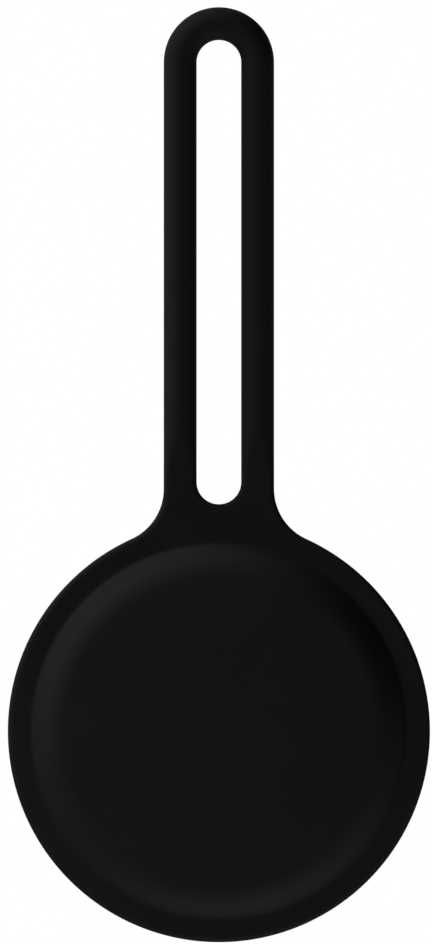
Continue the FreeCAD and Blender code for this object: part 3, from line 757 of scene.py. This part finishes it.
        for row in range(1, WEB_ROWS + 1):
            height = WEB_ROWS_BASE + WEB_ROW_GAP * row
            pick(piece, "FACE", in_web)
            bpy.ops.mesh.bisect(plane_co=(0, 0, height), plane_no=ALONG_Z, threshold=SAME_POINT)

    def join(self, piece, first, second):
        """An edge between two points."""
        pick(piece, "VERT", lambda v: (v.co - first).length < NEAR or (v.co - second).length < NEAR)
        bpy.ops.mesh.edge_face_add()

    def strand_half(self, piece, s):
        """From the flat stub into a round strand, up, and round half of the bow."""
        slot, _, top = self.slot_end(s)
        strand_x = slot + s.strand_radius
        bpy.ops.mesh.select_all(action="DESELECT")
        bpy.ops.mesh.primitive_circle_add(
            vertices=STRAND_SIDES, radius=s.strand_radius, fill_type="NOTHING",
            location=(strand_x, 0, s.loop_end), rotation=(0, 0, math.pi / 2))

        def at_height(edge, height):
            return both(edge, lambda p: abs(p.z - height) < NEAR)

        pick(piece, "EDGE", lambda e: at_height(e, top) or at_height(e, s.loop_end))
        bpy.ops.mesh.bridge_edge_loops(type="SINGLE", number_cuts=STUB_CUTS, interpolation="LINEAR")
        pick(piece, "EDGE", lambda e: at_height(e, s.loop_end))
        for _ in range(STRAND_STEPS):
            extrude_up((-slot - s.loop_end) / STRAND_STEPS)
        bpy.ops.mesh.spin(steps=BOW_STEPS, angle=math.pi / 2, center=(0, 0, -slot), axis=ALONG_Y)


class TAGHOLDER_OT_shell(bpy.types.Operator):
    """Model the tag's white shell: crowned rear, round rim and the opening for the cover"""
    bl_idname = "mesh.tag_holder_shell"
    bl_label = "Tag shell"
    bl_options = {"REGISTER", "UNDO"}

    def execute(self, context):
        axis = context.scene.holder_sizes.disc_height
        s = context.scene.tag_sizes
        crown_end, shoulder = crowned(s.shell_radius, s.shell_apex, s.shell_crown, s.rear_shoulder)
        rim_radius = s.shell_radius - s.front_shoulder
        rim_side = s.shell_rim - s.front_shoulder
        inside = s.shell_radius - s.shell_wall
        floor = s.shell_apex + s.shell_wall
        floor_round = s.rear_shoulder - s.shell_wall
        floor_flat = inside - floor_round
        floor_side = floor + floor_round
        under_rim = s.shell_rim - s.shell_wall
        opening_flat = s.opening_radius + s.opening_edge
        opening_edge_y = s.shell_rim - s.opening_edge
        pen = Profile(axis, 0, s.shell_apex)
        piece = new_piece("tag_shell_moulding", pen.point)
        pen.round(*crown_end, 0, s.shell_apex + s.shell_crown, parts=6)
        pen.round(s.shell_radius, shoulder.y, *shoulder, parts=12)
        pen.to(s.shell_radius, rim_side, parts=2)
        pen.round(rim_radius, s.shell_rim, rim_radius, rim_side, parts=12)
        pen.to(opening_flat, s.shell_rim, parts=2)
        pen.round(s.opening_radius, opening_edge_y, opening_flat, opening_edge_y, parts=3)
        pen.to(s.opening_radius, under_rim)
        pen.to(rim_radius, under_rim)
        pen.round(inside, rim_side, rim_radius, rim_side, parts=6)
        pen.to(inside, floor_side)
        pen.round(floor_flat, floor, floor_flat, floor_side, parts=8)
        pen.to(0, floor)
        turn(axis)
        smooth(piece, degrees=35)
        piece.data.materials.append(moulded_plastic(
            "white_shell", context.scene.holder_colours.shell,
            rough=0.3, grain_size=0.15 * MM, grain_depth=0.0015 * MM))
        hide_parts("tag_shell")
        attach(piece, "tag")
        return {"FINISHED"}


class TAGHOLDER_OT_cover(bpy.types.Operator):
    """Model the steel battery cover: a faint crown, a rolled edge and a short skirt"""
    bl_idname = "mesh.tag_holder_cover"
    bl_label = "Battery cover"
    bl_options = {"REGISTER", "UNDO"}

    def execute(self, context):
        axis = context.scene.holder_sizes.disc_height
        s = context.scene.tag_sizes
        crown = (s.cover_radius ** 2 + s.cover_rise ** 2) / (2 * s.cover_rise)
        crown_y = s.cover_front - crown
        bend = s.cover_radius - s.cover_edge
        bend_y = crown_y + math.sqrt(crown ** 2 - bend ** 2)
        edge_y = bend_y - s.cover_edge
        inside = s.cover_radius - s.cover_sheet
        pen = Profile(axis, 0, s.cover_front)
        piece = new_piece("battery_cover_pressing", pen.point)
        pen.round(bend, bend_y, 0, crown_y, parts=10)
        pen.round(s.cover_radius, edge_y, bend, edge_y, parts=6)
        pen.to(s.cover_radius, s.cover_skirt, parts=2)
        pen.to(inside, s.cover_skirt)
        pen.to(inside, edge_y)
        pen.round(bend, bend_y - s.cover_sheet, bend, edge_y, parts=3)
        pen.round(0, s.cover_front - s.cover_sheet, 0, crown_y - s.cover_sheet, parts=6)
        turn(axis)
        smooth(piece, degrees=35)
        piece.data.materials.append(
            turned_steel("satin_steel", context.scene.holder_colours.cover, rough=0.26, axis_z=axis))
        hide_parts("battery_cover")
        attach(piece, "cover")
        return {"FINISHED"}


class TAGHOLDER_OT_inside(bpy.types.Operator):
    """Give the pieces inside the tag their finishes, in the record's colours"""
    bl_idname = "object.tag_holder_inside"
    bl_label = "Finishes inside the tag"
    bl_options = {"REGISTER", "UNDO"}

    def execute(self, context):
        record = frame["record"]
        tones = {each["slot"]: tuple(each["base_color"]) for each in record["materials"]}
        finishes = {
            slot: make(slot, tones[slot], **looks)
            for slot, (make, looks) in INSIDE_FINISHES.items()
        }
        for part in record["subparts"]:
            if part["material_slot"] in finishes:
                cover_with(part["node"], finishes[part["material_slot"]])
        leaf = sheet_metal("leaf_bronze", tones["spring_bronze"], rough=0.3, streaks=(12, 1, 1))
        cover_with("negative_contact", leaf)
        wire = sheet_metal("coil_wire", tones["copper"], rough=0.4, streaks=(1, 20, 1))
        cover_with("sounder_coil", wire)
        return {"FINISHED"}


class TAGHOLDER_OT_stage(bpy.types.Operator):
    """Set the pale floor, the soft lamps, the white background and the camera"""
    bl_idname = "scene.tag_holder_stage"
    bl_label = "Stage"
    bl_options = {"REGISTER", "UNDO"}

    def execute(self, context):
        scene = context.scene
        scene.view_settings.view_transform = "Standard"
        self.floor(context)
        self.world(scene)
        disc = Vector((0, 0, scene.holder_sizes.disc_height))
        for name, settings in LAMPS.items():
            self.lamp(name, disc, **settings)
        self.camera(scene)
        return {"FINISHED"}

    def floor(self, context):
        """A round pale floor, far below, that looks nearly white."""
        bpy.ops.object.select_all(action="DESELECT")
        bpy.ops.mesh.primitive_circle_add(
            vertices=FLOOR_STEPS, radius=FLOOR_RADIUS, fill_type="NGON", location=(0, 0, 0))
        floor = context.object
        floor.name = floor.data.name = "floor"
        bpy.ops.object.mode_set(mode="EDIT")
        bpy.ops.transform.translate(value=(0, 0, FLOOR_HEIGHT))
        bpy.ops.object.mode_set(mode="OBJECT")
        skin = Surface("pale_floor")
        grain = skin.noise(size=2 * MM)
        tone = context.scene.holder_colours.floor
        floor.data.materials.append(skin.set(
            Base_Color=skin.vary(grain, tone, darkest=0.99, lightest=1.01),
            Roughness=0.9,
            Specular_IOR_Level=0.1,
            Emission_Color=skin.mix(skin.seen(), grey(0.0), grey(FLOOR_SEEN)),
            Emission_Strength=1.0,
        ))

    def world(self, scene):
        """A room that looks white and gives little light."""
        world = bpy.data.worlds.new("white_room")
        world.use_nodes = True
        scene.world = world
        sky = Finish(world.node_tree)
        background = world.node_tree.nodes["Background"]
        room = sky.mix(sky.seen(), grey(ROOM_LIGHT), grey(ROOM_SEEN))
        sky.feed(background.inputs["Color"], room)
        sky.feed(background.inputs["Strength"], 1.0)

    def lamp(self, name, target, direction, distance, width, level):
        """A soft lamp. A white card at the target that faces it renders at this level."""
        towards = Vector(direction).normalized()
        data = bpy.data.lights.new(name, "AREA")
        data.shape = "DISK"
        data.size = width
        data.energy = level * (math.pi * distance) ** 2
        lamp = bpy.data.objects.new(name, data)
        lamp.location = target + towards * distance
        lamp.rotation_euler = towards.to_track_quat("Z", "Y").to_euler()
        lamp.visible_camera = False
        bpy.context.scene.collection.objects.link(lamp)

    def camera(self, scene):
        """A long lens, square to the rear, framed as the photograph is."""
        data = bpy.data.cameras.new("camera")
        data.sensor_width = SENSOR_WIDTH
        data.lens = SENSOR_WIDTH * CAMERA_DISTANCE / (PHOTO_HEIGHT * PIXEL)
        camera = bpy.data.objects.new("camera", data)
        middle_x = (PHOTO_WIDTH / 2 - LOOP_COLUMN) * PIXEL
        middle_z = (SLOT_TOP_ROW - PHOTO_HEIGHT / 2) * PIXEL
        camera.location = (middle_x, -CAMERA_DISTANCE, middle_z)
        camera.rotation_euler = (math.pi / 2, 0, 0)
        scene.collection.objects.link(camera)
        scene.camera = camera


STEPS = (
    TAGHOLDER_OT_moulding,
    TAGHOLDER_OT_shell,
    TAGHOLDER_OT_cover,
    TAGHOLDER_OT_inside,
    TAGHOLDER_OT_stage,
)


class TAGHOLDER_PT_panel(bpy.types.Panel):
    """The holder's steps, sizes and colours"""
    bl_idname = "TAGHOLDER_PT_panel"
    bl_label = "Tag holder"
    bl_space_type = "VIEW_3D"
    bl_region_type = "UI"
    bl_category = "Tag holder"

    def draw(self, context):
        column = self.layout.column()
        for step in STEPS:
            column.operator(step.bl_idname)
        scene = context.scene
        for group in (scene.holder_sizes, scene.tag_sizes, scene.holder_colours):
            column = self.layout.column()
            for name in group.__annotations__:
                column.prop(group, name)


CLASSES = (HolderSizes, TagSizes, HolderColours, *STEPS, TAGHOLDER_PT_panel)


def register():
    for each in CLASSES:
        bpy.utils.register_class(each)
    bpy.types.Scene.holder_sizes = PointerProperty(type=HolderSizes)
    bpy.types.Scene.tag_sizes = PointerProperty(type=TagSizes)
    bpy.types.Scene.holder_colours = PointerProperty(type=HolderColours)


def unregister():
    del bpy.types.Scene.holder_colours
    del bpy.types.Scene.tag_sizes
    del bpy.types.Scene.holder_sizes
    for each in reversed(CLASSES):
        bpy.utils.unregister_class(each)


def main():
    register()
    bpy.ops.mesh.tag_holder_moulding()
    bpy.ops.mesh.tag_holder_shell()
    bpy.ops.mesh.tag_holder_cover()
    bpy.ops.object.tag_holder_inside()
    bpy.ops.scene.tag_holder_stage()


if __name__ == "__main__":
    main()
